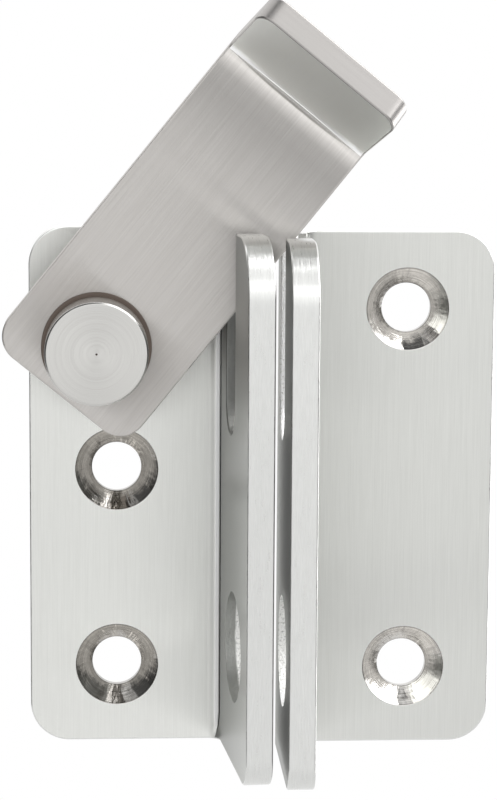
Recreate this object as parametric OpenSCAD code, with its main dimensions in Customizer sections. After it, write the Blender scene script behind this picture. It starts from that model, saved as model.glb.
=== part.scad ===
/* [Brackets] */
// Height of both bent brackets
bracket_h = 60; // [56:1:90]
// Width of each bracket, from the plate's free edge to the outer face of its flange
bracket_w = 25; // [24:0.5:40]
// Depth of each bracket, from the mounting face to the front edge of its flange
flange_d = 25; // [24:0.5:32]
// Thickness of the stainless sheet
sheet_t = 3; // [2.5:0.1:3.5]
// Inside radius of the bend between plate and flange
bend_r = 1.5; // [1:0.1:2]
// Radius of the two free corners of each plate
plate_corner_r = 4.5; // [2:0.1:6]
// Radius of the top front corner of each flange
flange_top_r = 6.5; // [3:0.1:7]
// Radius of the bottom front corner of each flange
flange_foot_r = 3; // [1:0.1:5]
// How far the latch flange stands open of square, in degrees
latch_lean = 5; // [0:0.5:6]
// Space between the two brackets at their bends
bracket_gap = 3.4; // [3:0.1:6]
// How much lower than the latch bracket the keeper bracket sits
keeper_drop = 0.5; // [0:0.1:1]

/* [Screw holes] */
// Diameter of the hole for a 5 mm countersunk screw
screw_hole_d = 5.7; // [5:0.1:6]
// Diameter of the countersink at the front face
screw_head_d = 9.5; // [8.5:0.1:10]
// Distance from a plate's free edge to its line of holes
screw_edge = 10; // [8:0.5:11]
// Distance from a plate's end to the nearest hole
screw_end = 9; // [7:0.5:12]
// Distance between the two holes of the latch bracket
latch_pitch = 23; // [20:0.5:24]

/* [Latch bar] */
// Thickness of the bar
bar_t = 3; // [2.5:0.1:3.5]
// Width of the bar
bar_w = 19; // [17:0.5:20]
// Distance from the pivot to the inside corner of the finger tab
bar_reach = 35; // [30:0.5:45]
// Distance from the pivot to the square end of the bar
bar_tail = 6.8; // [5.5:0.1:8]
// Radius of the corners at the square end
tail_corner_r = 3.1; // [1:0.1:4]
// Inside length of the finger tab
tab_len = 9.6; // [7:0.1:12]
// How far the finger tab leans out from square, in degrees
tab_lean = 27; // [10:1:40]
// Inside radius of the tab's bend
tab_bend_r = 0.8; // [0.5:0.1:1.5]
// Radius of the tab's free corners
tab_corner_r = 2; // [0.5:0.1:3]
// How far the bar leans to the right of upright as drawn, in degrees
bar_angle = 39; // [0:1:60]

/* [Pivot] */
// Distance from the latch plate's free edge to the pivot
pivot_edge = 7.7; // [7:0.1:9]
// Distance from the top of the latch bracket to the pivot
pivot_drop = 12.7; // [12:0.1:14]
// Space between the latch plate and the back of the bar
bar_standoff = 6.8; // [6.5:0.1:8]
// Diameter of the knob's head
knob_d = 11.3; // [9:0.1:14]
// Height of the knob's head
knob_h = 6.5; // [4:0.1:8]
// Chamfer around the knob's face
knob_chamfer = 0.35; // [0.1:0.05:0.8]
// Diameter of the turning mark at the centre of the knob's face
centre_mark_d = 0.6; // [0.3:0.1:1]
// Diameter of the knob's plain shank
shank_d = 6; // [5.5:0.1:6.5]
// Radial running clearance of the bar on the shank
shank_clearance = 0.05; // [0.03:0.01:0.1]
// Play left on each side of the bar
bar_play = 0.05; // [0.03:0.01:0.1]
// Outside diameter of the collar and the disc spring
collar_d = 10; // [9:0.1:11]
// Radial clearance of the collar, spring and washers on the shank
ring_clearance = 0.1; // [0.05:0.05:0.2]
// Diameter of the washer behind the bar
rear_washer_d = 12; // [10:0.1:14]
// Thickness of the washer behind the bar
rear_washer_t = 0.5; // [0.3:0.1:0.8]
// Diameter of the washer under the knob
front_washer_d = 12.2; // [10:0.1:14]
// Thickness of the washer under the knob
front_washer_t = 0.4; // [0.3:0.1:0.8]
// Thickness of the disc spring
spring_t = 0.3; // [0.2:0.05:0.4]
// Height of the disc spring as fitted
spring_h = 0.7; // [0.6:0.05:1]
// Diameter of the screw that holds the knob from behind
pivot_screw_d = 3.9; // [3.5:0.1:4.2]
// Diameter of that screw's countersunk head
pivot_screw_head_d = 7.6; // [7:0.1:8]
// How far that screw reaches into the knob's shank
pivot_screw_grip = 6.5; // [4:0.5:7]
// Width across the flats of its hexagon socket
socket_flats = 2.5; // [2:0.1:2.8]
// Depth of its hexagon socket
socket_depth = 1.3; // [1:0.1:1.5]

/* [Slots and padlock holes] */
// Room in front of and behind the bar in the flange slots
slot_side_room = 2; // [1:0.1:2.2]
// Room under the closed bar in the latch flange's slot
slot_rest_room = 0.15; // [0.1:0.05:0.5]
// Diameter of the padlock hole in each flange
padlock_d = 12.4; // [8:0.1:13]
// Height of the padlock hole's centre above the foot of the flange
padlock_up = 13.6; // [11:0.1:16]

/* [Hidden] */
$fn = 96;
steel = "#c9cac7";
bright_steel = "#d8d8d6";
spring_steel = "#a9a8a2";
// How far each cutting shape runs past the face that it cuts
over = 1;
// Flat steps that make up each bend
bend_steps = 12;

// The origin is on the mounting face, midway between the latch bracket's two screw holes
origin_up = screw_end + latch_pitch / 2;
keeper_right = 2 * bracket_w + bracket_gap - screw_edge;

// The bend's centre line, from the plate's free edge and in front of the mounting face
bend_x = bracket_w - sheet_t - bend_r;
bend_y = -(sheet_t + bend_r);
flange_len = flange_d - sheet_t - bend_r;
screw_sink = (screw_head_d - screw_hole_d) / 2;

// Distances in front of the mounting face of what is stacked on the pivot
bar_back = sheet_t + bar_standoff;
bar_front = bar_back + bar_t;
rear_washer_back = bar_back - bar_play - rear_washer_t;
spring_back = rear_washer_back - spring_h;
front_washer_back = bar_front + bar_play;
knob_back = front_washer_back + front_washer_t;
knob_front = knob_back + knob_h;
ring_hole_d = shank_d + 2 * ring_clearance;

// The rear screw, with its head set back from the mounting face, and the holes that it needs
pivot_screw_room = 0.1;
pivot_head_setback = 0.1;
knob_bore_spare = 1;
pivot_screw_head_h = (pivot_screw_head_d - pivot_screw_d) / 2;
pivot_screw_tip = sheet_t + pivot_screw_grip;
knob_bore_end = pivot_screw_tip + knob_bore_spare;
knob_bore_r = pivot_screw_d / 2 + pivot_screw_room;
pivot_hole_d = pivot_screw_d + 2 * pivot_screw_room;
pivot_sink_d = pivot_screw_head_d + 2 * (pivot_screw_room + pivot_head_setback);

// The slot has a round foot, on which the two lower edges of the closed bar come down
slot_w = bar_t + 2 * slot_side_room;
slot_r = slot_w / 2;
bar_edge_lift = sqrt(pow(slot_r, 2) - pow(bar_t / 2, 2));
slot_centre_up = bracket_h - pivot_drop - bar_w / 2 - slot_rest_room + bar_edge_lift;
slot_forward = bar_back + bar_t / 2;
padlock_forward = (sheet_t + flange_d) / 2;

// The tab turns through this angle about a line in front of the bar
tab_turn = 90 - tab_lean;
tab_bend_set = tab_bend_r * tan(tab_turn / 2);
tab_bend_up = bar_reach - tab_bend_set;
tab_flat = tab_len - tab_bend_set;

// Distance from the bend's centre to a place on a flange that is this far in front of the mounting face
function flange_place(forward, lean) =
    (forward + bend_y + (bend_r + sheet_t / 2) * sin(lean)) / cos(lean);

// Points along an arc, for the outline of a bent sheet
function arc(centre, r, from, to) =
    [for (i = [0:bend_steps]) let (a = from + (to - from) * i / bend_steps) centre + r * [cos(a), sin(a)]];

// What is cut off a corner at the origin to leave it with radius r
module corner_waste(r) {
    difference() {
        translate([-over, -over]) square(r + over);
        translate([r, r]) circle(r);
    }
}

// Stands a flat outline up, facing the viewer, and cuts it back through thickness t
module through_plate(t) {
    translate([0, over, 0]) rotate([90, 0, 0]) linear_extrude(t + 2 * over) children();
}

// Stands a flat outline up along a flange, and cuts it sideways through thickness t
module through_flange(t) {
    translate([-over, 0, 0]) rotate([90, 0, 90]) linear_extrude(t + 2 * over) children();
}

// Countersunk screw hole that opens to the front of the plate
module screw_hole() {
    rotate([90, 0, 0]) {
        translate([0, 0, -over]) cylinder(h = sheet_t + 2 * over, d = screw_hole_d);
        translate([0, 0, sheet_t - screw_sink])
            cylinder(h = screw_sink + over, d1 = screw_hole_d, d2 = screw_head_d + 2 * over);
    }
}

// Places a child in a flange's own frame: x through the sheet, -y to the front, z up
module on_flange(lean) {
    translate([bend_x, bend_y, 0]) rotate([0, 0, lean]) translate([bend_r, 0, 0]) children();
}

module flange_cuts(lean) {
    on_flange(lean) {
        through_flange(sheet_t) {
            translate([-flange_len, 0]) corner_waste(flange_foot_r);
            translate([-flange_len, bracket_h]) mirror([0, 1]) corner_waste(flange_top_r);
            translate([-flange_place(slot_forward, lean), slot_centre_up]) {
                circle(slot_r);
                translate([-slot_r, 0]) square([slot_w, bracket_h]);
            }
        }
        translate([-over, -flange_place(padlock_forward, lean), padlock_up])
            rotate([0, 90, 0]) cylinder(h = sheet_t + 2 * over, d = padlock_d);
    }
}

// Bent sheet seen from above, with its mounting face at y = 0 and its free edge at x = 0
module bracket_outline(lean) {
    bend = [bend_x, bend_y];
    outward = [cos(lean), sin(lean)];
    run = flange_len * [sin(lean), -cos(lean)];
    polygon(concat(
        [[0, 0]],
        arc(bend, bend_r + sheet_t, 90, lean),
        [bend + (bend_r + sheet_t) * outward + run, bend + bend_r * outward + run],
        arc(bend, bend_r, lean, 90),
        [[0, -sheet_t]]
    ));
}

module bracket(lean, hole_heights) {
    difference() {
        linear_extrude(bracket_h) bracket_outline(lean);
        through_plate(sheet_t) {
            corner_waste(plate_corner_r);
            translate([0, bracket_h]) mirror([0, 1]) corner_waste(plate_corner_r);
        }
        flange_cuts(lean);
        for (up = hole_heights) translate([screw_edge, 0, up]) screw_hole();
    }
}

module latch_bracket() {
    color(steel) difference() {
        translate([-screw_edge, 0, -origin_up])
            bracket(latch_lean, [screw_end, screw_end + latch_pitch]);
        on_pivot() {
            translate([0, 0, -over]) cylinder(h = sheet_t + 2 * over, d = pivot_hole_d);
            translate([0, 0, -over])
                cylinder(h = (pivot_sink_d - pivot_hole_d) / 2 + over, d1 = pivot_sink_d + 2 * over,
                         d2 = pivot_hole_d);
        }
    }
}

module keeper_bracket() {
    color(steel) translate([keeper_right, 0, -origin_up - keeper_drop]) mirror([1, 0, 0])
        bracket(0, [screw_end, bracket_h - screw_end]);
}

// Places a turned piece on the pivot, with z as the distance in front of the mounting face
module on_pivot() {
    translate([pivot_edge - screw_edge, 0, bracket_h - pivot_drop - origin_up])
        rotate([90, 0, 0]) children();
}

// Bent bar seen from its side, with the pivot at height 0
module bar_outline() {
    bend = [-bar_front - tab_bend_r, tab_bend_up];
    outward = [cos(tab_turn), sin(tab_turn)];
    run = tab_flat * [-sin(tab_turn), cos(tab_turn)];
    polygon(concat(
        [[-bar_back, -bar_tail]],
        arc(bend, tab_bend_r + bar_t, 0, tab_turn),
        [bend + (tab_bend_r + bar_t) * outward + run, bend + tab_bend_r * outward + run],
        arc(bend, tab_bend_r, tab_turn, 0),
        [[-bar_front, -bar_tail]]
    ));
}

// Upright bar with its pivot at the origin of x and z
module upright_bar() {
    difference() {
        translate([-bar_w / 2, 0, 0]) rotate([90, 0, 90]) linear_extrude(bar_w) bar_outline();
        for (side = [0, 1]) mirror([side, 0, 0]) {
            translate([-bar_w / 2, -bar_back, -bar_tail])
                through_plate(bar_t) corner_waste(tail_corner_r);
            translate([0, -bar_front - tab_bend_r, tab_bend_up]) rotate([tab_turn, 0, 0])
                translate([-bar_w / 2, tab_bend_r + bar_t, tab_flat]) mirror([0, 0, 1])
                    through_plate(bar_t) corner_waste(tab_corner_r);
        }
        rotate([90, 0, 0]) translate([0, 0, bar_back - over])
            cylinder(h = bar_t + 2 * over, d = shank_d + 2 * shank_clearance);
    }
}

module latch_bar() {
    color(steel) translate([pivot_edge - screw_edge, 0, bracket_h - pivot_drop - origin_up])
        rotate([0, bar_angle, 0]) upright_bar();
}

// Flat or straight-sided ring around the shank
module ring(back, height, outside_d) {
    on_pivot() translate([0, 0, back]) difference() {
        cylinder(h = height, d = outside_d);
        translate([0, 0, -over]) cylinder(h = height + 2 * over, d = ring_hole_d);
    }
}

module pivot_knob() {
    color(bright_steel) on_pivot() rotate_extrude() polygon([
        [0, knob_bore_end],
        [knob_bore_r, knob_bore_end],
        [knob_bore_r, sheet_t],
        [shank_d / 2, sheet_t],
        [shank_d / 2, knob_back],
        [knob_d / 2, knob_back],
        [knob_d / 2, knob_front - knob_chamfer],
        [knob_d / 2 - knob_chamfer, knob_front],
        [centre_mark_d / 2, knob_front],
        [0, knob_front - centre_mark_d / 2]
    ]);
}

module front_washer() {
    color(spring_steel) ring(front_washer_back, front_washer_t, front_washer_d);
}

module rear_washer() {
    color(spring_steel) ring(rear_washer_back, rear_washer_t, rear_washer_d);
}

module pivot_collar() {
    color(bright_steel) ring(sheet_t, spring_back - sheet_t, collar_d);
}

// Coned ring that bears on the collar with its rim and on the rear washer with its bore
module disc_spring() {
    color(spring_steel) on_pivot() rotate_extrude() polygon([
        [ring_hole_d / 2, spring_back + spring_h - spring_t],
        [ring_hole_d / 2, spring_back + spring_h],
        [collar_d / 2, spring_back + spring_t],
        [collar_d / 2, spring_back]
    ]);
}

module pivot_screw() {
    color(bright_steel) on_pivot() difference() {
        rotate_extrude() polygon([
            [0, pivot_head_setback],
            [pivot_screw_head_d / 2, pivot_head_setback],
            [pivot_screw_d / 2, pivot_head_setback + pivot_screw_head_h],
            [pivot_screw_d / 2, pivot_screw_tip],
            [0, pivot_screw_tip]
        ]);
        cylinder(h = pivot_head_setback + socket_depth, d = socket_flats / cos(30), $fn = 6);
    }
}

latch_bracket();
keeper_bracket();
latch_bar();
pivot_knob();
front_washer();
rear_washer();
disc_spring();
pivot_collar();
pivot_screw();
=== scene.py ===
import math

import bmesh
import bpy
import numpy as np
from mathutils import Matrix, Vector, geometry


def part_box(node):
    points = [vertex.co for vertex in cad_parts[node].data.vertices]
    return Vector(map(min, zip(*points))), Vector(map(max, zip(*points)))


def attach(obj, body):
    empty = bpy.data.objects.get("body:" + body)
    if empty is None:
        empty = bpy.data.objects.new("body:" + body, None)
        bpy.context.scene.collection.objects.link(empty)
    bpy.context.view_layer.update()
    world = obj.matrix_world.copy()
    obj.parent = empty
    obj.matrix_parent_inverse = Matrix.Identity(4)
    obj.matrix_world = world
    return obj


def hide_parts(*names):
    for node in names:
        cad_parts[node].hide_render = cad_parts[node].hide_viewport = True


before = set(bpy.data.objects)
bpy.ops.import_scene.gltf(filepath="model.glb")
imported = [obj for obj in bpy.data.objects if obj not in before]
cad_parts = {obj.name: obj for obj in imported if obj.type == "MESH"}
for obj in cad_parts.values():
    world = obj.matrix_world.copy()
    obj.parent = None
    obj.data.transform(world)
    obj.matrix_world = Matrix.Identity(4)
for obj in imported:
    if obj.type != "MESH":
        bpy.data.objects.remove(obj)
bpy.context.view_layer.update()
mm = 0.001
print("frame loaded")

sheetStock = {
    "thick": 3.0,  # mm, as all sizes in these dictionaries
    "edgeRound": 0.2,
    "edgeSteps": 4,
    "cell": 1.6,  # mesh size on the flats
    "bendCell": 0.06,  # and across a bend
    "fineBefore": 2.4,  # how far the bend's finer mesh reaches onto the flats
    "fineAfter": 0.8,
    "room": 0.12,  # least distance of the flats' mesh points from an edge
}
bracketStyle = {
    "high": 60.0,
    "wide": 25.0,
    "deep": 25.0,
    "bendRadius": 1.5,
    "plateCorner": 4.5,
    "flangeTop": 6.5,
    "flangeFoot": 3.0,
    "screwEdge": 10.0,
    "screwRadius": 2.85,
    "sinkDepth": 1.9,
    "slotHalf": 3.5,
    "slotForward": 11.3,  # slot centre in front of the mounting face
    "slotFoot": 40.812,  # centre of the slot's round foot above the bracket's foot
    "padlockRadius": 6.2,
    "padlockForward": 14.0,
    "padlockUp": 13.6,
    "punchedRound": 0.06,
    "paintedTopLight": 0.32,  # share of painted highlight added on the edges that face up
    # how the press left the inside of the bend: share of the bend, then the shifts along the sheet and
    # out of it, and the share of painted shade taken off or painted highlight added
    "crease": [
        (-0.1, 0, 0, 0), (0.0, 0, 0, -0.04), (0.1, 0.078, 0.024, -0.08), (0.2, 0.211, 0.094, -0.1),
        (0.25, 0.256, 0.098, 0.1), (0.3, 0.304, 0.064, 0.4), (0.38, 0.478, -0.052, 0.3),
        (0.4, 0.543, -0.129, -0.5), (0.43, 0.557, -0.345, -0.9), (0.455, 0.561, -0.162, -0.75),
        (0.49, 0.5, -0.13, -0.1), (0.6, 0.324, -0.056, 0), (0.8, 0.099, -0.018, 0), (1.0, 0, 0, 0),
    ],
    "creaseAt": 0.43,  # share of the bend that the mark narrows to at its ends
    "creaseInset": (0.4, 0.4),  # where the mark ends, from the sheet's two edges
    "creaseEnd": 2.6,  # and over what length it fades out there
    # share of the bend, then the share of painted light added to the whole inner face: painted shade
    # near the bend, painted light towards the flange's front edge
    "shade": [(-0.1, 0), (1.0, -0.14), (5.6, 0.4)],
}
barStyle = {
    "half": 9.5,
    "tail": 6.8,
    "tailCorner": 3.1,
    "reach": 35.0,
    "tab": 9.6,
    "tabLean": 27.0,
    "tabRadius": 0.8,
    "tabCorner": 2.0,
    "tabPaintedLightFrom": 0.3,  # the tab's painted light, a lighter copy of the bar steel, starts this far into the bend
    "lean": 39.0,
    "frontFace": 12.8,
    "boreRadius": 3.05,
    # the bar's press mark in the same columns; the last is painted shade and a painted highlight
    "crease": [
        (-0.14, 0, 0, 0), (-0.1, 0, -0.03, -0.6), (-0.04, 0, -0.09, -0.66), (0.02, 0, -0.12, -0.4),
        (0.07, 0, -0.12, -0.3), (0.11, 0, -0.1, 0.8), (0.15, 0, -0.04, 0.7), (0.18, 0, 0, -0.5),
        (0.22, 0, 0.03, -0.55), (0.27, 0, 0.05, 0), (0.4, 0, 0.06, 0),
        (0.6, -0.05, 0.1, 0), (1.0, -0.08, 0.14, 0), (1.8, -0.04, 0.07, 0), (2.6, 0, 0, 0),
    ],
    # share of the bend, then painted light over the bar's whole width: painted shade in a band before
    # the bend, a painted highlight close to it
    "shade": [(-9.0, 0), (-5.8, -0.03), (-4.15, -0.11), (-2.97, -0.2), (-2.18, -0.28), (-1.58, -0.32),
              (-1.0, -0.29), (-0.79, -0.24), (-0.6, -0.08), (-0.4, 0.12), (-0.2, 0.4), (-0.05, 0.3),
              (0.3, 0.2), (0.5, 0.12), (1.2, 0.04), (4.0, 0)],
    "creaseAt": 0.08,
    "creaseInset": (0.5, 0.9),
    "creaseEnd": 8.4,
}
pivotStyle = {
    "x": -2.3,
    "z": 26.8,
    "shankRadius": 3.0,
    "screwBore": 2.05,
    "screwBoreEnd": 10.5,
    "screwSink": 1.95,
    "screwAt": (7.7, 47.3),  # from the latch bracket's free edge and foot
    "plate": 3.0,
    "knobBack": 13.25,
    "knobFront": 19.75,
    "knobRadius": 5.65,
    "chamfer": 0.2,
    "pip": 0.12,
    "segments": 160,
    "patternTurn": 4.0,  # mm of pattern to a radian
}


def outwardOf(loop):
    # right-hand side of the direction of travel at each point, and how far a mitre lengthens there
    ahead = np.roll(loop, -1, 0) - loop
    ahead /= np.linalg.norm(ahead, axis=1, keepdims=True)
    mean = ahead + np.roll(ahead, 1, 0)
    size = np.linalg.norm(mean, axis=1, keepdims=True)
    return np.stack([mean[:, 1], -mean[:, 0]], 1) / size, 2 / size


def arcPoints(centre, radius, start, end, step=5.0):
    # a circle's points from one angle to another, without the last one
    count = max(2, int(round(abs(end - start) / step)))
    angle = np.radians(np.linspace(start, end, count, endpoint=False))
    return np.array(centre) + radius * np.stack([np.cos(angle), np.sin(angle)], 1)


def straightPoints(start, end, stops):
    # a line's points at the stops that lie on it, from its start and without its end
    axis = 0 if abs(end[0] - start[0]) > abs(end[1] - start[1]) else 1
    low, high = sorted((start[axis], end[axis]))
    room = 0.02
    inside = stops[axis][(stops[axis] > low + room) & (stops[axis] < high - room)]
    if end[axis] < start[axis]:
        inside = inside[::-1]
    share = np.concatenate([[start[axis]], inside])
    points = np.tile(np.array(start, float), (len(share), 1))
    points[:, axis] = share
    return points


def roundedWall(stock, radius=None):
    # rows of inset, depth, normal angle and painted light: a quarter round, the straight wall, a quarter
    # round
    radius, thick = radius or stock["edgeRound"], stock["thick"]
    turn = np.linspace(math.pi / 2, 0, stock["edgeSteps"] + 1)
    front = np.stack([radius * (1 - np.cos(turn)), radius * (1 - np.sin(turn)), turn, turn * 0], 1)
    return np.concatenate([front, backWall(front, thick)])


def sunkWall(stock, sink, mouthRound=0.1):
    # the same for a countersunk hole: a tight lip, a 45 degree cone, a straight bore, a quarter round
    slope = math.pi / 4
    lip = mouthRound * math.tan(slope / 2)
    # the cone has painted shade along its mouth and its foot, this far in
    mouth, foot = 0.16, 0.14
    rows = [
        [sink + lip, 0, math.pi / 2, 0],
        [sink, lip * 0.4, 1.2, -0.45],
        [sink - lip * 0.7, lip * 0.75, slope, -0.5],
        [sink - mouth, mouth, slope, 0],
        [foot, sink - foot, slope, 0],
        [0.0, sink, slope, -0.4],
        [0.0, sink, 0.0, -0.3],
    ]
    return np.concatenate([np.array(rows), roundedWall(stock)[stock["edgeSteps"] + 1:]])


def backWall(wall, thick):
    # the same wall cut from the sheet's other face
    return wall[::-1] * [1, -1, -1, 1] + [0, thick, 0, 0]


def insideLoops(points, loops):
    # even-odd rule, for all points at once
    inside = np.zeros(len(points), bool)
    for loop in loops:
        a, b = loop, np.roll(loop, -1, 0)
        crosses = (a[:, 1] > points[:, 1:2]) != (b[:, 1] > points[:, 1:2])
        rise = np.where(b[:, 1] == a[:, 1], 1, b[:, 1] - a[:, 1])
        at = a[:, 0] + (points[:, 1:2] - a[:, 1]) / rise * (b[:, 0] - a[:, 0])
        inside ^= (crosses & (points[:, :1] < at)).sum(1) % 2 == 1
    return inside


def clearOfLoops(points, loops, room):
    # points that keep their distance from every loop's corners
    keep = np.ones(len(points), bool)
    for loop in loops:
        gap = np.linalg.norm(points[:, None] - loop[None], axis=2).min(1)
        keep &= gap > room
    return points[keep]


def bendLength(bend):
    # round the bend, along the middle of the sheet
    return (bend["radius"] + bend["thick"] / 2) * bend["turn"]


def innerShare(deep, bend):
    # 1 on the sheet's inner face, falling to 0 on its outer face
    return np.clip(1 - deep / bend["thick"], 0, 1) ** 2


def foldSheet(along, deep, bend):
    # straight up to the bend, round its centre, then straight again
    length = bendLength(bend)
    share = np.clip((along - bend["at"]) / length, 0, 1)
    turn = share * bend["turn"]
    sine, cosine = np.sin(turn), np.cos(turn)
    past = np.maximum(along - bend["at"] - length, 0)
    before = np.minimum(along, bend["at"])
    reach = bend["radius"] + deep
    p = before + reach * sine + past * cosine
    q = bend["radius"] - reach * cosine + past * sine
    return p, q


def creaseShift(along, across, deep, bend):
    # the press mark inside the bend, with its painted shade and painted highlight: a lens, full in its
    # middle and gone at its ends and the outer face
    share = (along - bend["at"]) / bendLength(bend)
    rows = np.array(bend["crease"])
    fromEnd = np.minimum(across - bend["low"], bend["high"] - across) / bend["creaseEnd"]
    fade = np.clip(fromEnd * (2 - np.minimum(fromEnd, 1)), 0, 1)
    # towards its ends the mark narrows, though never to nothing, and weakens
    leastWidth, narrowing, weakening = 0.05, 0.6, 0.7
    share = bend["creaseAt"] + (share - bend["creaseAt"]) / np.maximum(fade, leastWidth) ** narrowing
    fade = fade ** weakening * innerShare(deep, bend)
    return [np.interp(share, rows[:, 0], rows[:, k]) * fade for k in (1, 2, 3)]


def shadeAlong(along, deep, bend):
    # painted shade and painted light on the inner face towards the bend, over the sheet's whole width
    share = (along - bend["at"]) / bendLength(bend)
    rows = np.array(bend["shade"])
    return np.interp(share, rows[:, 0], rows[:, 1]) * innerShare(deep, bend)


def placeSheet(along, across, deep, bend, setting):
    # a point of the flat blank, folded, creased and set in the frame
    p, q = foldSheet(along, deep, bend)
    dp, dq, _ = creaseShift(along, across, deep, bend)
    axisP, axisQ, axisV = (np.array(setting[key]) for key in ("axisP", "axisQ", "axisV"))
    return (np.array(setting["origin"]) + (p + dp)[:, None] * axisP + (q + dq)[:, None] * axisQ
            + across[:, None] * axisV)


def meshPiece(name, places, faces, corners, kinds, finishes):
    # one mesh from whole arrays
    # corners hold nine numbers for each face corner: normal 3, place in the pattern 2, groove 3, painted
    # light 1
    polygons, normals, patterns, grooves, paintedLights = [], [], [], [], []
    volume = 0.0
    for group in faces:
        a, b, c = (places[group[:, k]] for k in range(3))
        volume += np.einsum("ij,ij->", a, np.cross(b, c))
        if group.shape[1] == 4:
            d = places[group[:, 3]]
            volume += np.einsum("ij,ij->", a, np.cross(c, d))
    for group, data in zip(faces, corners):
        if volume < 0:
            # the faces came out inward, so all turn round
            group, data = group[:, ::-1], data[:, ::-1]
        polygons += group.tolist()
        flat = data.reshape(-1, 9)
        normals.append(flat[:, :3])
        patterns.append(flat[:, 3:5])
        grooves.append(flat[:, 5:8])
        paintedLights.append(flat[:, 8])
    mesh = bpy.data.meshes.new(name)
    mesh.from_pydata((places * mm).tolist(), [], polygons)
    pattern = mesh.uv_layers.new(name="pattern")
    pattern.data.foreach_set("uv", np.concatenate(patterns).ravel())
    groove = mesh.attributes.new("groove", "FLOAT_VECTOR", "CORNER")
    groove.data.foreach_set("vector", np.concatenate(grooves).ravel())
    paintedLight = mesh.attributes.new("paintedLight", "FLOAT", "CORNER")
    paintedLight.data.foreach_set("value", np.concatenate(paintedLights))
    for finish in finishes:
        mesh.materials.append(finish)
    mesh.polygons.foreach_set("material_index", np.concatenate(kinds).astype(np.int32))
    mesh.polygons.foreach_set("use_smooth", np.ones(len(polygons), bool))
    mesh.normals_split_custom_set(np.concatenate(normals).tolist())
    piece = bpy.data.objects.new(name, mesh)
    bpy.context.scene.collection.objects.link(piece)
    return piece


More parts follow.
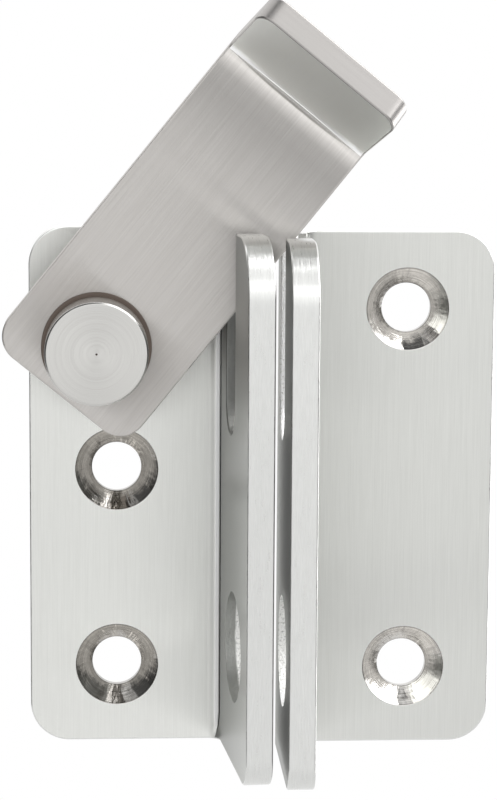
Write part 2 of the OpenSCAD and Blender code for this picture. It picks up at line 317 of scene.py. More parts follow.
def cutSheet(name, outline, holes, stock, lines, bend, setting, finishes):
    # a flat blank with rounded edges, folded about its bend and set in the frame
    # the pattern's second axis follows the grain: across the sheet on the brackets, along it on the bar
    grain = 1 if setting["grooveFlat"][1] else -1

    def onGrain(along, across):
        return np.stack([along, across][::grain], -1)

    loops = [outline] + [hole["loop"] for hole in holes]
    walls = [roundedWall(stock)] + [hole["wall"] for hole in holes]
    kinds = [setting["wallKind"]] + [hole["kind"] for hole in holes]
    capRings, count = [[], []], 0
    places, faces, corners, tags = [], [], [], []
    # walls that face up take a painted highlight, in full where they lie nearly level
    upFrom, upSpan = 0.75, 0.2
    for loop, wall, kind in zip(loops, walls, kinds):
        outward, mitre = outwardOf(loop)
        size = len(loop)
        index = np.arange(size)
        after = np.roll(index, -1)
        lengths = np.append(0, np.cumsum(np.linalg.norm(np.roll(loop, -1, 0) - loop, axis=1)))
        chosen = kind(loop) if callable(kind) else np.full(size, kind)
        # the slot, which is the punched part of the outline, gets a painted light level of its own,
        # negative for painted shade and positive for a painted highlight
        tint = setting["paintedSlotLight"] * (chosen == 2) if callable(kind) else np.zeros(size)
        tint = tint + setting["paintedTopLight"] * np.clip(outward[:, 1] - upFrom, 0, upSpan) / upSpan
        # grooves run round the wall, and straight through it where it was punched
        way = np.column_stack([-outward[:, 1], outward[:, 0], np.zeros(size)])
        way[chosen == 2] = [0, 0, 1]
        run = np.concatenate([[0], np.cumsum(np.hypot(*np.diff(wall[:, :2], axis=0).T))])
        ids, rings = [], []
        for row, (inset, depth, lean, _) in enumerate(wall):
            spot = np.column_stack([loop - outward * mitre * inset, np.full(size, depth)])
            same = row and np.allclose(wall[row, :2], wall[row - 1, :2])
            if not same:
                ids.append(index + count)
                places.append(spot)
                count += size
            else:
                ids.append(ids[-1])
            flat = np.column_stack([outward * math.cos(lean), np.full(size, -math.sin(lean))])
            rings.append((flat, same))
        for row in range(1, len(wall)):
            if rings[row][1]:
                continue
            faces.append(np.stack([ids[row - 1], ids[row - 1][after], ids[row][after], ids[row]], 1))
            data = np.zeros((size, 4, 9))
            ends = [(row - 1, index, 0), (row - 1, after, 1), (row, after, 1), (row, index, 0)]
            for k, (r, who, lap) in enumerate(ends):
                data[:, k, :3] = rings[r][0][who]
                data[:, k, 3] = run[r]
                data[:, k, 4] = lengths[index + lap]
                data[:, k, 5:8] = way[who]
                data[:, k, 8] = wall[r, 3] + tint[who]
            corners.append(data)
            tags.append(chosen)
        capRings[0].append((loop - outward * mitre * wall[0, 0], ids[0]))
        capRings[1].append((loop - outward * mitre * wall[-1, 0], ids[-1]))
    # the two faces between the walls
    grid = np.stack(np.meshgrid(lines[0], lines[1], indexing="ij"), -1).reshape(-1, 2)
    for side in (0, 1):
        rims = [ring for ring, _ in capRings[side]]
        inner = grid[insideLoops(grid, rims)]
        inner = clearOfLoops(inner, rims, stock["room"])
        edges, start = [], 0
        for ring in rims:
            number = np.arange(len(ring)) + start
            edges += np.stack([number, np.roll(number, -1)], 1).tolist()
            start += len(ring)
        every = np.concatenate(rims + [inner])
        made = geometry.delaunay_2d_cdt([Vector(p) for p in every], edges, [], 0, 1e-6)
        origin = np.array([ids[0] for ids in made[3]])
        triangles = origin[np.array(made[2])]
        middle = every[triangles].mean(1)
        triangles = triangles[insideLoops(middle, rims)]
        own = np.concatenate([ids for _, ids in capRings[side]] + [np.arange(len(inner)) + count])
        places.append(np.column_stack([inner, np.full(len(inner), stock["thick"] * side)]))
        count += len(inner)
        if side == 0:
            triangles = triangles[:, ::-1]
        faces.append(own[triangles])
        data = np.zeros((len(triangles), 3, 9))
        data[:, :, 2] = 1 if side else -1
        flatAlong, flatAcross = every[triangles][..., 0], every[triangles][..., 1]
        data[:, :, 3:5] = onGrain(flatAlong + stock["thick"] * side, flatAcross)
        data[:, :, 5:8] = setting["grooveFlat"]
        corners.append(data)
        tags.append(setting["faceKind"](side, every[triangles].mean(1)[:, 0]))
    flat = np.concatenate(places)
    # normals and grooves follow the fold through its slopes along, across and through the sheet
    solid = placeSheet(*flat.T, bend, setting)
    step = 0.02
    slopes = [placeSheet(*(flat + nudge).T, bend, setting) - placeSheet(*(flat - nudge).T, bend, setting)
              for nudge in np.eye(3) * step]
    slopes = np.stack(slopes, -1) / (2 * step)
    facing = np.linalg.inv(slopes).transpose(0, 2, 1)
    # painted shade and painted highlight of the press mark and along the bend
    paintedLight = creaseShift(*flat.T, bend)[2] + shadeAlong(flat[:, 0], flat[:, 2], bend)
    for cap in (-2, -1):
        corners[cap][..., 8] += paintedLight[faces[cap]]
    for group, data in zip(faces, corners):
        for first, turnBy in ((0, facing), (5, slopes)):
            world = np.einsum("fkij,fkj->fki", turnBy[group], data[..., first:first + 3])
            data[..., first:first + 3] = world / np.linalg.norm(world, axis=-1, keepdims=True)
    return meshPiece(name, solid, faces, corners, tags, finishes)


def circleLoop(centre, radius, step=4.0):
    # clockwise, so that the sheet lies on its left
    return arcPoints(centre, radius, 360, 0, step)


def sheetLines(low, high, cell, bend, stock):
    # mesh lines at one spacing on the flats and a finer one across the bend
    start = bend["at"] - stock["fineBefore"]
    end = bend["at"] + bendLength(bend) + stock["fineAfter"]
    first = np.linspace(low, start, max(2, int((start - low) / cell)), endpoint=False)
    middle = np.linspace(start, end, int((end - start) / stock["bendCell"]), endpoint=False)
    last = np.linspace(end, high, max(2, int((high - end) / cell)))
    return np.concatenate([first, middle, last])


def bendOf(style, stock, at, radius, turn, edges):
    # what the fold, the press mark and the painted shade need to know
    return {"at": at, "radius": radius, "turn": turn, "thick": stock["thick"],
            "low": edges[0] + style["creaseInset"][0], "high": edges[1] - style["creaseInset"][1],
            "crease": style["crease"], "creaseAt": style["creaseAt"], "creaseEnd": style["creaseEnd"],
            "shade": style["shade"]}


def makeBracket(name, node, side, flangeLean, holesUp, pivotHole, innerKind, finishes, paintedLights):
    # plate, bend and flange as one blank: along runs from the free edge, across runs up
    style, stock = bracketStyle, sheetStock
    low, high = (np.array(corner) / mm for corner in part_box(node))
    lean = math.radians(flangeLean)
    setBack = stock["thick"] + style["bendRadius"]
    bend = bendOf(style, stock, style["wide"] - setBack, style["bendRadius"], math.pi / 2 - lean,
                  (0, style["high"]))
    # each bracket's whole inner face is painted lighter or darker as given
    bend["shade"] = [(share, paintedLight + paintedLights["inner"]) for share, paintedLight in style["shade"]]
    bendEnd = bend["at"] + bendLength(bend)
    crease = bend["at"] + style["creaseAt"] * (bendEnd - bend["at"])
    end = bendEnd + style["deep"] - setBack

    def onFlange(forward):
        shift = (style["bendRadius"] + stock["thick"] / 2) * math.sin(lean)
        return bendEnd + (forward - setBack + shift) / math.cos(lean)

    across = np.arange(stock["cell"], style["high"], stock["cell"])
    lines = (sheetLines(0, end, stock["cell"], bend, stock), across)
    slot, half, foot = onFlange(style["slotForward"]), style["slotHalf"], style["slotFoot"]
    top = style["high"]
    a, b, c = style["plateCorner"], style["flangeFoot"], style["flangeTop"]
    outline = np.concatenate([
        arcPoints((a, a), a, 180, 270),
        straightPoints((a, 0), (end - b, 0), lines),
        arcPoints((end - b, b), b, 270, 360),
        straightPoints((end, b), (end, top - c), lines),
        arcPoints((end - c, top - c), c, 0, 90),
        straightPoints((end - c, top), (slot + half, top), lines),
        straightPoints((slot + half, top), (slot + half, foot), lines),
        arcPoints((slot, foot), half, 0, -180),
        straightPoints((slot - half, foot), (slot - half, top), lines),
        straightPoints((slot - half, top), (a, top), lines),
        arcPoints((a, top - a), a, 90, 180),
        straightPoints((0, top - a), (0, a), lines),
    ])

    # materials by their place in finishes: 0 face, 1 countersink, 2 punched, 3 flange faces with painted
    # shade, 4 edge
    def wallKind(loop):
        x, y = loop.T
        slack = 0.1
        inSlot = (abs(x - slot) < half + slack) & (y > foot - half - slack) & (y < top - slack)
        return np.where(inSlot, 2, 4)

    def faceKind(side, along):
        if side:
            return np.where(along > bendEnd, 3, 0)
        return np.where(along > crease, innerKind, 0)

    punched = roundedWall(stock, style["punchedRound"])
    holes = [{"loop": circleLoop((style["screwEdge"], up), style["screwRadius"]),
              "wall": sunkWall(stock, style["sinkDepth"]), "kind": 1} for up in holesUp]
    holes.append({"loop": circleLoop((onFlange(style["padlockForward"]), style["padlockUp"]),
                                     style["padlockRadius"]), "wall": punched, "kind": 2})
    if pivotHole:
        holes.append({"loop": circleLoop(pivotHole["at"], pivotHole["radius"]),
                      "wall": pivotHole["wall"], "kind": 1})
    freeEdge = low[0] if side > 0 else high[0]
    setting = {"origin": (freeEdge, -stock["thick"], low[2]), "axisP": (side, 0, 0), "axisQ": (0, -1, 0),
               "axisV": (0, 0, 1), "grooveFlat": (0, 1, 0), "wallKind": wallKind, "faceKind": faceKind,
               "paintedTopLight": style["paintedTopLight"], "paintedSlotLight": paintedLights["slot"]}
    piece = cutSheet(name, outline, holes, stock, lines, bend, setting, finishes)
    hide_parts(node)
    return piece


def makeBar(name, node, finishes):
    # along runs from the square tail to the end of the finger tab, across runs to the right
    style, stock = barStyle, sheetStock
    turn = math.radians(90 - style["tabLean"])
    inset = style["tabRadius"] * math.tan(turn / 2)
    half = style["half"]
    bend = bendOf(style, stock, style["reach"] - inset, style["tabRadius"], turn, (-half, half))
    end = bend["at"] + bendLength(bend) + style["tab"] - inset
    across = np.arange(-half + stock["cell"] / 2, half, stock["cell"] / 2)
    lines = (sheetLines(-style["tail"], end, stock["cell"], bend, stock), across)
    a, b, low = style["tailCorner"], style["tabCorner"], -style["tail"]
    outline = np.concatenate([
        arcPoints((low + a, -half + a), a, 180, 270),
        straightPoints((low + a, -half), (end - b, -half), lines),
        arcPoints((end - b, -half + b), b, 270, 360),
        straightPoints((end, -half + b), (end, half - b), lines),
        arcPoints((end - b, half - b), b, 0, 90),
        straightPoints((end - b, half), (low + a, half), lines),
        arcPoints((low + a, half - a), a, 90, 180),
        straightPoints((low, half - a), (low, -half + a), lines),
    ])
    holes = [{"loop": circleLoop((0, 0), style["boreRadius"]), "wall": roundedWall(stock), "kind": 1}]
    lean = math.radians(style["lean"])
    tabFrom = bend["at"] + style["tabPaintedLightFrom"]

    # materials by their place in finishes: 0 bar, 1 bore, 2 tab's inner face, painted lighter, 3 tab's
    # end
    def wallKind(loop):
        slack = 0.1
        return np.where(loop[:, 0] > end - b - slack, 3, 0)

    def faceKind(side, along):
        return np.where((side == 0) & (along > tabFrom), 2, 0)

    setting = {"origin": (pivotStyle["x"], -style["frontFace"], pivotStyle["z"]),
               "axisP": (math.sin(lean), 0, math.cos(lean)), "axisQ": (0, -1, 0),
               "axisV": (math.cos(lean), 0, -math.sin(lean)), "grooveFlat": (1, 0, 0),
               "wallKind": wallKind, "faceKind": faceKind, "paintedTopLight": 0.0, "paintedSlotLight": 0.0}
    piece = cutSheet(name, outline, holes, stock, lines, bend, setting, finishes)
    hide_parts(node)
    return piece


def turnedProfile(stations, softness=0.06, steps=4):
    # each corner of the profile gets a small round; rows are radius, height and normal direction
    points = np.array([s[:2] for s in stations], float)
    soft = [s[2] if len(s) > 2 else softness for s in stations]
    rows = []
    last = len(points) - 1
    for k, here in enumerate(points):
        if k in (0, last):
            other = points[1] if k == 0 else points[last - 1]
            way = (other - here) if k == 0 else (here - other)
            way /= np.linalg.norm(way)
            rows.append([*here, way[1], -way[0]])
            continue
        back, ahead = here - points[k - 1], points[k + 1] - here
        roomBack, roomAhead = np.linalg.norm(back), np.linalg.norm(ahead)
        back, ahead = back / roomBack, ahead / roomAhead
        reach = min(soft[k], roomBack * 0.45, roomAhead * 0.45)
        start, end = here - back * reach, here + ahead * reach
        for t in np.linspace(0, 1, steps + 1):
            place = (1 - t) ** 2 * start + 2 * t * (1 - t) * here + t ** 2 * end
            way = (1 - t) * back + t * ahead
            way /= np.linalg.norm(way)
            rows.append([*place, way[1], -way[0]])
    return np.array(rows)


def turnPiece(name, stations, finishes, kindOf):
    # a profile of radius and distance in front of the mounting face, carried round the pivot
    count = pivotStyle["segments"]
    rows = turnedProfile(stations)
    atPole = rows[:, 0] < 1e-6
    angle = np.linspace(0, 2 * math.pi, count + 1)
    run = np.concatenate([[0], np.cumsum(np.hypot(*np.diff(rows[:, :2], axis=0).T))])
    places, ids, total = [], [], 0
    index = np.arange(count)
    after = np.roll(index, -1)
    axis = np.array([pivotStyle["x"], 0, pivotStyle["z"]])
    around = np.stack([np.cos(angle[:-1]), np.zeros(count), np.sin(angle[:-1])], 1)
    for row, (radius, height, _, _) in enumerate(rows):
        if atPole[row]:
            places.append((axis + [0, -height, 0])[None])
            ids.append(np.full(count, total))
            total += 1
            continue
        places.append(axis + around * radius + [0, -height, 0])
        ids.append(index + total)
        total += count
    faces, corners, tags = [], [], []
    groove = np.stack([-np.sin(angle), np.zeros(count + 1), np.cos(angle)], 1)
    spoke = np.stack([np.cos(angle), np.zeros(count + 1), np.sin(angle)], 1)
    for row in range(1, len(rows)):
        ends = [(row - 1, index, 0), (row - 1, after, 1), (row, after, 1), (row, index, 0)]
        if atPole[row - 1]:
            ends = [ends[0], ends[2], ends[3]]
        elif atPole[row]:
            ends = [ends[0], ends[1], ends[3]]
        data = np.zeros((count, len(ends), 9))
        for k, (r, who, lap) in enumerate(ends):
            data[:, k, :3] = spoke[index + lap] * rows[r, 2] + [0, -rows[r, 3], 0]
            data[:, k, 3] = run[r]
            data[:, k, 4] = angle[index + lap] * pivotStyle["patternTurn"]
            data[:, k, 5:8] = groove[index + lap]
        faces.append(np.stack([ids[r][who] for r, who, _ in ends], 1))
        corners.append(data)
        middle = (rows[row, :2] + rows[row - 1, :2]) / 2
        tags.append(np.full(count, kindOf(*middle)))
    return meshPiece(name, np.concatenate(places), faces, corners, tags, finishes)


def addNode(tree, kind, place, inputs=None, **values):
    # a node with its settings, then links or plain values into its inputs by name or number
    node = tree.nodes.new(kind)
    node.location = place
    for key, value in values.items():
        setattr(node, key, value)
    for key, value in (inputs or {}).items():
        if isinstance(value, bpy.types.NodeSocket):
            tree.links.new(value, node.inputs[key])
        else:
            node.inputs[key].default_value = value
    return node


def mathNode(tree, operation, place, *inputs):
    # the result of a Math node
    node = addNode(tree, "ShaderNodeMath", place, dict(enumerate(inputs)), operation=operation)
    return node.outputs[0]


def mixColours(tree, place, share, first, second, **values):
    # the first colour gives way to the second, each a link or three numbers
    first, second = ((*end, 1) if isinstance(end, tuple) else end for end in (first, second))
    return addNode(tree, "ShaderNodeMix", place, {"Factor": share, "A": first, "B": second},
                   data_type="RGBA", clamp_factor=True, **values).outputs["Result"]


def newGroup(name, inputs, outputs):
    # numbers in with their defaults, or a vector where there is none, and numbers out
    tree = bpy.data.node_groups.new(name, "ShaderNodeTree")
    for label, value in inputs.items():
        kind = "NodeSocketVector" if value is None else "NodeSocketFloat"
        socket = tree.interface.new_socket(name=label, in_out="INPUT", socket_type=kind)
        if value is not None:
            socket.default_value = value
    for label in outputs:
        tree.interface.new_socket(name=label, in_out="OUTPUT", socket_type="NodeSocketFloat")
    return tree, addNode(tree, "NodeGroupInput", (-900, 0)).outputs


def useGroup(tree, group, place, **inputs):
    return addNode(tree, "ShaderNodeGroup", place, inputs, node_tree=group).outputs


def streaks(tree, row, x, y, seed, detail, **values):
    # noise stretched along each axis on its own
    place = addNode(tree, "ShaderNodeCombineXYZ", (-260, row), {0: x, 1: y, 2: seed})
    inputs = {"Vector": place.outputs[0], "Scale": 1.0, "Detail": detail, **values}
    return addNode(tree, "ShaderNodeTexNoise", (-100, row), inputs).outputs["Fac"]


def brushedGrainGroup():
    # long scratches along the pattern's second axis, in three widths
    tree, source = newGroup(
        "brushedGrain", {"Pattern": None, "Lines": 9.0, "Length": 0.16, "Contrast": 1.0},
        ("Shade", "Height"))
    split = addNode(tree, "ShaderNodeSeparateXYZ", (-720, 0), {0: source["Pattern"]}).outputs
    total = None
    for k, (width, length, share) in enumerate([(1.0, 1.0, 0.5), (0.37, 0.6, 0.3), (2.6, 1.7, 0.2)]):
        row = -200 * k
        x = mathNode(tree, "MULTIPLY", (-540, row), split[0], width)
        x = mathNode(tree, "MULTIPLY", (-400, row), x, source["Lines"])
        y = mathNode(tree, "MULTIPLY", (-540, row - 90), split[1], length)
        y = mathNode(tree, "MULTIPLY", (-400, row - 90), y, source["Length"])
        noise = streaks(tree, row, x, y, 7.3 * k, 3.0, Roughness=0.6)
        part = mathNode(tree, "MULTIPLY", (80, row), noise, share)
        total = part if total is None else mathNode(tree, "ADD", (240, row), total, part)
    centred = mathNode(tree, "SUBTRACT", (400, 0), total, 0.5)
    strong = mathNode(tree, "MULTIPLY", (560, 0), centred, source["Contrast"])
    shade = mathNode(tree, "ADD", (720, 0), strong, 0.5)
    addNode(tree, "NodeGroupOutput", (900, 0), {"Shade": shade, "Height": total})
    return tree


def handlingGroup():
    # soft cloudy smudges
    tree, source = newGroup("handlingMarks", {"Place": None, "Size": 90.0}, ("Smudge",))
    cloud = addNode(tree, "ShaderNodeTexNoise", (-500, 150),
                    {"Vector": source["Place"], "Scale": source["Size"], "Detail": 3.0})
    addNode(tree, "NodeGroupOutput", (900, 0), {"Smudge": cloud.outputs["Fac"]})
    return tree


def tornWallGroup():
    # coarse grains on the wall below the depth where the punch stopped cutting and the steel tore
    tree, source = newGroup("tornWall", {"Pattern": None, "Start": 1.0}, ("Shade", "Height"))
    split = addNode(tree, "ShaderNodeSeparateXYZ", (-720, 0), {0: source["Pattern"]})
    wander = addNode(tree, "ShaderNodeTexNoise", (-720, -300),
                     {"Vector": source["Pattern"], "Scale": 0.6}).outputs["Fac"]
    edge = mathNode(tree, "MULTIPLY_ADD", (-540, -200), wander, 0.35, split.outputs[0])
    past = mathNode(tree, "SUBTRACT", (-380, 0), edge, source["Start"])
    share = addNode(tree, "ShaderNodeMapRange", (-200, 0), {"Value": past, "From Max": 0.25},
                    interpolation_type="SMOOTHSTEP").outputs[0]
    grains = addNode(
        tree, "ShaderNodeTexNoise", (-200, -300),
        {"Vector": source["Pattern"], "Scale": 3.4, "Detail": 4.0, "Roughness": 0.7}).outputs["Fac"]
    shown = addNode(tree, "ShaderNodeMapRange", (0, -300),
                    {"Value": grains, "From Min": 0.3, "From Max": 0.5}).outputs[0]
    addNode(tree, "NodeGroupOutput", (900, 0), {
        "Shade": mathNode(tree, "MULTIPLY", (250, 0), share, shown),
        "Height": mathNode(tree, "MULTIPLY", (250, -200), share, grains)})
    return tree


def toolChatterGroup():
    # fine rings left by the cutting edge, and broad spokes where it jumped
    tree, source = newGroup("toolChatter", {"Pattern": None, "Rings": 3.0}, ("Height",))
    split = addNode(tree, "ShaderNodeSeparateXYZ", (-720, 0), {0: source["Pattern"]}).outputs
    ring = mathNode(tree, "MULTIPLY", (-540, 0), split[0], source["Rings"])
    spoke = mathNode(tree, "MULTIPLY", (-540, -200), split[1], 0.35)
    parts = []
    for k, (a, b, share) in enumerate([(1.0, 0.25, 0.16), (0.04, 4.0, 2.0)]):
        row = -250 * k
        x = mathNode(tree, "MULTIPLY", (-400, row), ring, a)
        y = mathNode(tree, "MULTIPLY", (-400, row - 100), spoke, b)
        noise = streaks(tree, row, x, y, 4.1 * k, 2.0)
        parts.append(mathNode(tree, "MULTIPLY", (200, row), noise, share))
    addNode(tree, "NodeGroupOutput", (900, 0), {"Height": mathNode(tree, "ADD", (400, 0), *parts)})
    return tree


brushedGrain = brushedGrainGroup()
handlingMarks = handlingGroup()
tornWall = tornWallGroup()
toolChatter = toolChatterGroup()


def tangentOf(tree, alongGroove):
    # along the grooves that the brush or the tool left, or across them on the surface
    groove = addNode(tree, "ShaderNodeAttribute", (0, -500), attribute_name="groove").outputs["Vector"]
    along = addNode(tree, "ShaderNodeVectorTransform", (200, -500), {0: groove}, vector_type="VECTOR",
                    convert_from="OBJECT", convert_to="WORLD").outputs[0]
    if alongGroove:
        return along
    facing = addNode(tree, "ShaderNodeNewGeometry", (200, -700)).outputs["Normal"]
    return addNode(tree, "ShaderNodeVectorMath", (450, -500), {0: along, 1: facing},
                   operation="CROSS_PRODUCT").outputs[0]


def steelFinish(name, look):
    # steel with its grain in colour, roughness and height, brushed along the groove attribute
    finish = bpy.data.materials.new(name)
    finish.use_nodes = True
    tree = finish.node_tree
    tree.nodes.clear()
    pattern = addNode(tree, "ShaderNodeUVMap", (-1200, 300), uv_map="pattern").outputs[0]
    place = addNode(tree, "ShaderNodeTexCoord", (-1200, 0)).outputs["Object"]
    grain = useGroup(tree, brushedGrain, (-900, 300), Pattern=pattern, Lines=look["lines"],
                     Length=look["length"], Contrast=look["contrast"])
    marks = useGroup(tree, handlingMarks, (-900, 0), Place=place, Size=look["smudgeSize"])

    tint = mixColours(tree, (-600, 350), grain["Shade"], look["dark"], look["light"])
    smudge = mathNode(tree, "MULTIPLY", (-600, 100), marks["Smudge"], look["smudge"])
    colour = mixColours(tree, (-350, 350), smudge, tint, look["smudgeTint"], blend_type="MULTIPLY")
    height = mathNode(tree, "MULTIPLY", (-350, -100), grain["Height"], look["grainDeep"])
    if "torn" in look:
        # past a certain depth the punched wall is torn: coarse bright grains
        torn = useGroup(tree, tornWall, (-900, -300), Pattern=pattern, Start=look["torn"])
        colour = mixColours(tree, (-100, 350), torn["Shade"], colour, look["tornTint"])
        height = mathNode(tree, "ADD", (100, -100), height, torn["Height"])
    if "rings" in look:
        # marks of the cutting tool
        chatter = useGroup(tree, toolChatter, (-900, -300), Pattern=pattern, Rings=look["rings"])
        height = mathNode(tree, "ADD", (100, -100), height, chatter["Height"])
    # the painted light attribute is the share by which a place is painted lighter or darker, as painted
    # highlight or painted shade
    paintedLight = addNode(tree, "ShaderNodeAttribute", (-100, 600), attribute_name="paintedLight").outputs["Fac"]
    level = mathNode(tree, "ADD", (100, 600), paintedLight, 1.0)
    toned = addNode(tree, "ShaderNodeVectorMath", (500, 350), {0: colour, "Scale": level},
                    operation="SCALE")
    rough = addNode(tree, "ShaderNodeMapRange", (250, 0), {
        "Value": grain["Shade"], "To Min": look["rough"][0], "To Max": look["rough"][1]})
    bump = addNode(tree, "ShaderNodeBump", (700, -250), {
        "Height": height, "Strength": look["bump"], "Distance": look["bumpHigh"] * mm})

    inputs = {"Base Color": toned.outputs[0], "Roughness": rough.outputs[0], "Normal": bump.outputs[0],
              "Metallic": 1.0, "Anisotropic": look["anisotropic"]}
    if look["anisotropic"]:
        inputs["Tangent"] = tangentOf(tree, look["alongGroove"])
    shader = addNode(tree, "ShaderNodeBsdfPrincipled", (1200, 0), inputs)
    addNode(tree, "ShaderNodeOutputMaterial", (1500, 0), {0: shader.outputs[0]})
    return finish


sheetLook = {
    "dark": (0.71, 0.716, 0.687),
    "light": (0.935, 0.942, 0.913),
    "rough": (0.33, 0.42),
    "anisotropic": 0.95,
    "lines": 6.0,  # a millimetre, across the grain
    "length": 0.12,  # changes a millimetre, along it
    "contrast": 1.3,
    "smudgeSize": 60.0,  # smudges a metre
    "smudge": 0.12,
    "smudgeTint": (0.9, 0.9, 0.88),
    "bump": 0.4,
    "bumpHigh": 0.02,  # mm
    "grainDeep": 1.0,  # share of the bump that the grain takes
    "alongGroove": False,
}
edgeLook = dict(
    sheetLook, dark=(0.59, 0.594, 0.58), light=(0.76, 0.764, 0.75), rough=(0.24, 0.34),
    anisotropic=0.6, length=0.5, contrast=1.8, bump=0.8, bumpHigh=0.04)
# the flange faces: a darker copy of the sheet steel, painted shade
paintedShadeFlangeLook = dict(
    sheetLook, dark=(0.39, 0.395, 0.38), light=(0.51, 0.515, 0.5), rough=(0.3, 0.36), contrast=0.8,
    bump=0.1)
# the bar is a darker copy of the sheet steel: painted shade for the darker surroundings its grain
# reflects
barLook = dict(
    sheetLook, dark=(0.43, 0.412, 0.394), light=(0.6, 0.582, 0.563), contrast=1.6, length=0.1,
    rough=(0.32, 0.36), anisotropic=1.0, bump=0.9, bumpHigh=0.05)
# the tab's inner face is a near-white copy of the bar steel: painted light
paintedLightTabLook = dict(
    barLook, dark=(0.9, 0.907, 0.88), light=(0.98, 0.987, 0.96), contrast=0.5, rough=(0.48, 0.54),
    anisotropic=0.0, bump=0.05, smudge=0.5, smudgeSize=140.0)
tabEndLook = dict(
    paintedLightTabLook, dark=(0.31, 0.298, 0.29), light=(0.39, 0.377, 0.368), contrast=0.8, rough=(0.3, 0.36))
sinkLook = dict(
    sheetLook, dark=(0.24, 0.23, 0.215), light=(0.62, 0.605, 0.58), rough=(0.05, 0.12), lines=7.0,
    length=0.35, anisotropic=0.3, bump=0.45, bumpHigh=0.1, grainDeep=0.15, contrast=2.4, rings=8.0)
# the keeper's countersinks are a lighter copy of the countersink steel: painted light
paintedLightSinkLook = dict(sinkLook, dark=(0.3, 0.29, 0.275), light=(0.8, 0.785, 0.76))
# torn: mm below the face where the punch stopped cutting
punchedLook = dict(
    sheetLook, dark=(0.33, 0.335, 0.32), light=(0.42, 0.425, 0.41), rough=(0.3, 0.5), lines=3.2,
    length=2.6, anisotropic=0.0, contrast=1.2, bump=0.9, bumpHigh=0.12, torn=1.3,
    tornTint=(0.9, 0.9, 0.88))
knobFaceLook = dict(
    sheetLook, dark=(0.45, 0.444, 0.427), light=(0.61, 0.604, 0.587), rough=(0.2, 0.28),
    anisotropic=0.8, lines=9.0, length=0.04, contrast=1.3, bump=0.12, smudge=0.0, alongGroove=True)
knobSideLook = dict(
    knobFaceLook, dark=(0.21, 0.19, 0.172), light=(0.33, 0.303, 0.275), rough=(0.2, 0.34),
    anisotropic=0.6, bump=0.3, contrast=1.5, alongGroove=False)
washerLook = dict(
    sheetLook, dark=(0.09, 0.07, 0.06), light=(0.18, 0.15, 0.13), rough=(0.3, 0.45),
    anisotropic=0.4, lines=10.0, contrast=2.4)
screwLook = dict(paintedLightTabLook, dark=(0.46, 0.46, 0.45), light=(0.6, 0.6, 0.59), rough=(0.34, 0.4))

sheetSteel = steelFinish("sheetSteel", sheetLook)
barSteel = steelFinish("barSteel", barLook)
sinkSteel = steelFinish("sinkSteel", sinkLook)
paintedLightSinkSteel = steelFinish("paintedLightSinkSteel", paintedLightSinkLook)
punchedSteel = steelFinish("punchedSteel", punchedLook)
paintedShadeFlangeSteel = steelFinish("paintedShadeFlangeSteel", paintedShadeFlangeLook)
edgeSteel = steelFinish("edgeSteel", edgeLook)
paintedLightTabSteel = steelFinish("paintedLightTabSteel", paintedLightTabLook)
tabEndSteel = steelFinish("tabEndSteel", tabEndLook)
knobFaceSteel = steelFinish("knobFaceSteel", knobFaceLook)
knobSideSteel = steelFinish("knobSideSteel", knobSideLook)
washerSteel = steelFinish("washerSteel", washerLook)
screwSteel = steelFinish("screwSteel", screwLook)
print("finishes made")

ringStyle = {
    # round each ring's section: radius, distance in front of the mounting face and a corner's round
    "frontWasher": ("front_washer", [(3.1, 12.85), (6.1, 12.85), (6.1, 13.25), (3.1, 13.25)]),
    "rearWasher": ("rear_washer", [(3.1, 9.25), (6.0, 9.25), (6.0, 9.75), (3.1, 9.75)]),
    "discSpring": ("disc_spring", [(3.1, 8.95), (5.0, 8.55), (5.0, 8.85), (3.1, 9.25)]),
    "pivotCollar": ("pivot_collar", [(3.1, 3.0), (5.0, 3.0, 0.2), (5.0, 8.55, 0.2), (3.1, 8.55)]),
}


def makeKnob():
    # a tapped shank from the plate, the knob on it, and the centre mark in its face
    style = pivotStyle
    seat, bore, shank = style["plate"], style["screwBore"], style["shankRadius"]
    back, front, radius = style["knobBack"], style["knobFront"], style["knobRadius"]
    edge = style["chamfer"]
    profile = [
        (0, style["screwBoreEnd"]), (bore, style["screwBoreEnd"]), (bore, seat), (shank, seat),
        (shank, back), (radius, back, 0.1), (radius, front - edge, 0.05), (radius - edge, front, 0.05),
        (style["pip"], front, 0.03), (0, front - style["pip"]),
    ]

    # materials by their place in finishes: 0 face, 1 side and shank, 2 centre mark
    def kindOf(radius, height):
        slack = 0.02
        if height < front - edge - slack:
            return 1
        return 2 if radius < style["pip"] else 0

    knob = turnPiece("pivotKnob", profile, [knobFaceSteel, knobSideSteel, washerSteel], kindOf)
    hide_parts("pivot_knob")
    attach(knob, "latch")


def makeRings():
    # the washers, the spring and the collar, whose profiles start and end in the middle of a side
    for name, (node, stations) in ringStyle.items():
        finish = knobSideSteel if node == "pivot_collar" else washerSteel
        start = tuple((np.array(stations[0][:2]) + stations[1][:2]) / 2)
        profile = [start] + stations[1:] + stations[:1] + [start]
        piece = turnPiece(name, profile, [finish], lambda radius, height: 0)
        weld(piece)
        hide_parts(node)
        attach(piece, "latch")


def weld(piece):
    # joins the first and last ring of a closed profile
    shell = bmesh.new()
    shell.from_mesh(piece.data)
    bmesh.ops.remove_doubles(shell, verts=shell.verts, dist=1e-7)
    shell.to_mesh(piece.data)
    shell.free()


screwHole = {
    "at": pivotStyle["screwAt"],
    "radius": pivotStyle["screwBore"],
    "wall": backWall(sunkWall(sheetStock, pivotStyle["screwSink"]), sheetStock["thick"]),
}
# the latch's plate is painted lighter and its slot gets painted shade
latchPiece = makeBracket(
    "latchBracket", "latch_bracket", 1, 5.0, (9.0, 32.0), screwHole, 3,
    [sheetSteel, sinkSteel, punchedSteel, paintedShadeFlangeSteel, edgeSteel], {"inner": 0.06, "slot": -0.35})
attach(latchPiece, "latch")
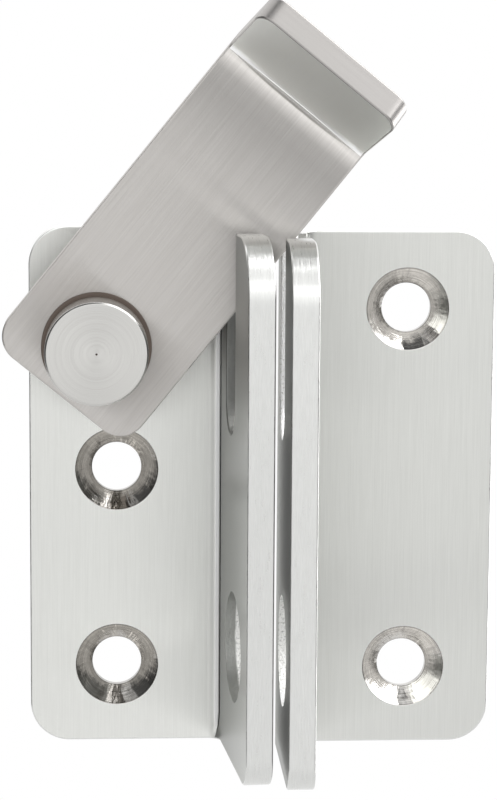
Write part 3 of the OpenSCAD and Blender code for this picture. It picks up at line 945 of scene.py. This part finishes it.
# the keeper's plate is painted darker as shade and its slot gets a painted highlight
keeperPiece = makeBracket(
    "keeperBracket", "keeper_bracket", -1, 0.0, (9.0, 51.0), None, 0,
    [sheetSteel, paintedLightSinkSteel, punchedSteel, paintedShadeFlangeSteel, edgeSteel], {"inner": -0.05, "slot": 0.3})
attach(keeperPiece, "keeper")
barPiece = makeBar("latchBar", "latch_bar", [barSteel, sinkSteel, paintedLightTabSteel, tabEndSteel])
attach(barPiece, "bar")
makeKnob()
makeRings()
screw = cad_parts["pivot_screw"]
screw.data.materials.clear()
screw.data.materials.append(screwSteel)
print("pieces made")

studio = {
    "floorDown": 0.16,  # metres below the mounting frame's origin
    "floorSize": 0.4,
    "floorGrey": 0.9,
    "floorGlow": 0.9,  # share of plain white that the eye and the metal see in the floor
    "flags": 0.9,  # share of the light that the dark flags take off
}
# what the metal sees in the tent: a level added to white, then bands of direction that bound it, each
# from one value to another along an axis, with a soft edge
frontHalf = ("y", -2.0, 0.05, 0.15)
lamps = [
    (0.2, frontHalf, ("z", -2.0, 0.8, 0.1)),  # behind the camera
    (0.25, frontHalf, ("z", 0.03, 0.5, 0.08), ("side", -1.0, 0.6, 0.15)),  # above the camera
    (0.45, ("y", 0.05, 1.2, 0.1), ("z", 0.35, 2.0, 0.1)),  # ceiling behind the object
    (4.2, ("x", 0.24, 2.0, 0.03), ("z", 0.16, 2.0, 0.03), ("y", -0.35, 0.25, 0.1)),  # high at the right
    (3.0, ("x", 0.6, 2.0, 0.1), ("z", -0.5, 0.1, 0.06), ("y", 0.13, 0.7, 0.04)),  # low at the right
    (0.6, frontHalf, ("z", 0.3, 0.54, 0.05), ("x", -0.4, 0.5, 0.1)),  # bright band above the camera
    (-0.12, frontHalf, ("z", -0.36, -0.14, 0.1)),  # table below the camera
    (-0.9, ("y", -0.25, 0.02, 0.05), ("z", 0.86, 2.0, 0.05)),  # gap straight above
]
flags = [
    (("x", 0.46, 2.0, 0.15), ("z", -0.6, 0.1, 0.06), ("y", -0.8, 0.1, 0.05)),  # at the right
    (("x", -2.0, -0.62, 0.15), ("z", -0.6, 0.3, 0.12), ("y", -0.8, 0.4, 0.15)),  # low at the left
    (("x", -2.0, -0.45, 0.1), ("z", 0.2, 0.85, 0.1), ("y", -0.4, 0.2, 0.1)),  # high at the left
]


def makeFloor():
    size, grey = studio["floorSize"], studio["floorGrey"]
    corners = [(-size, -size, 0), (size, -size, 0), (size, size, 0), (-size, size, 0)]
    mesh = bpy.data.meshes.new("studioFloor")
    mesh.from_pydata(corners, [], [(0, 1, 2, 3)])
    mesh.transform(Matrix.Translation((0, 0, -studio["floorDown"])))
    floor = bpy.data.objects.new("studioFloor", mesh)
    bpy.context.scene.collection.objects.link(floor)
    paper = bpy.data.materials.new("paperWhite")
    paper.use_nodes = True
    tree = paper.node_tree
    tree.nodes.clear()
    diffuse = addNode(tree, "ShaderNodeBsdfDiffuse", (0, 100), {"Color": (grey, grey, grey, 1)})
    glow = addNode(tree, "ShaderNodeEmission", (0, -100))
    rays = addNode(tree, "ShaderNodeLightPath", (-300, 300)).outputs
    seen = mathNode(tree, "MAXIMUM", (-100, 400), rays["Is Camera Ray"], rays["Is Glossy Ray"])
    seen = mathNode(tree, "MAXIMUM", (0, 400), seen, rays["Is Transmission Ray"])
    share = mathNode(tree, "MULTIPLY", (100, 300), seen, studio["floorGlow"])
    mix = addNode(tree, "ShaderNodeMixShader", (300, 0),
                  {0: share, 1: diffuse.outputs[0], 2: glow.outputs[0]})
    addNode(tree, "ShaderNodeOutputMaterial", (600, 0), {0: mix.outputs[0]})
    mesh.materials.append(paper)


def makeWorld():
    # plain white to the eye, and to the metal the same white with the lamps and flags of a light tent
    world = bpy.data.worlds.new("lightTent")
    bpy.context.scene.world = world
    world.use_nodes = True
    tree = world.node_tree
    tree.nodes.clear()
    place = addNode(tree, "ShaderNodeTexCoord", (-900, 0))
    split = addNode(tree, "ShaderNodeSeparateXYZ", (-700, 0), {0: place.outputs["Generated"]})
    axes = dict(zip("xyz", split.outputs))
    axes["side"] = mathNode(tree, "ABSOLUTE", (-500, -200), axes["x"])

    def rise(value, at, soft):
        inputs = {"Value": value, "From Min": at - soft, "From Max": at + soft}
        return addNode(tree, "ShaderNodeMapRange", (-300, 0), inputs,
                       interpolation_type="SMOOTHSTEP").outputs[0]

    def panel(bands):
        product = None
        for axis, low, high, soft in bands:
            band = mathNode(tree, "SUBTRACT", (-100, 0), rise(axes[axis], low, soft),
                            rise(axes[axis], high, soft))
            product = band if product is None else mathNode(tree, "MULTIPLY", (100, 0), product, band)
        return product

    total = 1.0
    for level, *bands in lamps:
        added = mathNode(tree, "MULTIPLY", (300, 0), panel(bands), level)
        total = mathNode(tree, "ADD", (500, 0), added, total)
    for bands in flags:
        taken = mathNode(tree, "MULTIPLY", (300, -200), panel(bands), studio["flags"])
        left = mathNode(tree, "SUBTRACT", (500, -200), 1.0, taken)
        total = mathNode(tree, "MULTIPLY", (700, 0), total, left)
    rays = addNode(tree, "ShaderNodeLightPath", (500, 700)).outputs
    plain = mathNode(tree, "MAXIMUM", (700, 700), rays["Is Camera Ray"], rays["Is Transmission Ray"])
    level = addNode(tree, "ShaderNodeMix", (1000, 300), {"Factor": plain, "A": total, "B": 1.0},
                    data_type="FLOAT")
    back = addNode(tree, "ShaderNodeBackground", (1300, 0),
                   {"Color": (1, 1, 1, 1), "Strength": level.outputs["Result"]})
    addNode(tree, "ShaderNodeOutputWorld", (1500, 0), {0: back.outputs[0]})


def makeCamera():
    # where the photograph was taken from, in metres in the object's frame
    shot = {"place": (-0.00227, -0.29249, 0.06013), "yaw": 3.44, "pitch": 7.98, "roll": 0.35,
            "lens": 114.63}
    yaw, pitch, roll = (math.radians(shot[key]) for key in ("yaw", "pitch", "roll"))
    view = Vector((math.sin(yaw) * math.cos(pitch), math.cos(yaw) * math.cos(pitch), -math.sin(pitch)))
    right = Vector((math.cos(yaw), -math.sin(yaw), 0))
    up = right.cross(view)
    right, up = (right * math.cos(roll) + up * math.sin(roll),
                 up * math.cos(roll) - right * math.sin(roll))
    data = bpy.data.cameras.new("shotCamera")
    data.sensor_width = 36.0
    data.lens = shot["lens"]
    data.clip_start = 0.01
    data.clip_end = 20.0
    camera = bpy.data.objects.new("shotCamera", data)
    bpy.context.scene.collection.objects.link(camera)
    camera.rotation_mode = "QUATERNION"
    camera.rotation_quaternion = Matrix((right, up, -view)).transposed().to_quaternion()
    camera.location = shot["place"]
    bpy.context.scene.camera = camera


makeFloor()
makeWorld()
makeCamera()
bpy.context.scene.view_settings.view_transform = "Standard"
print("studio made")
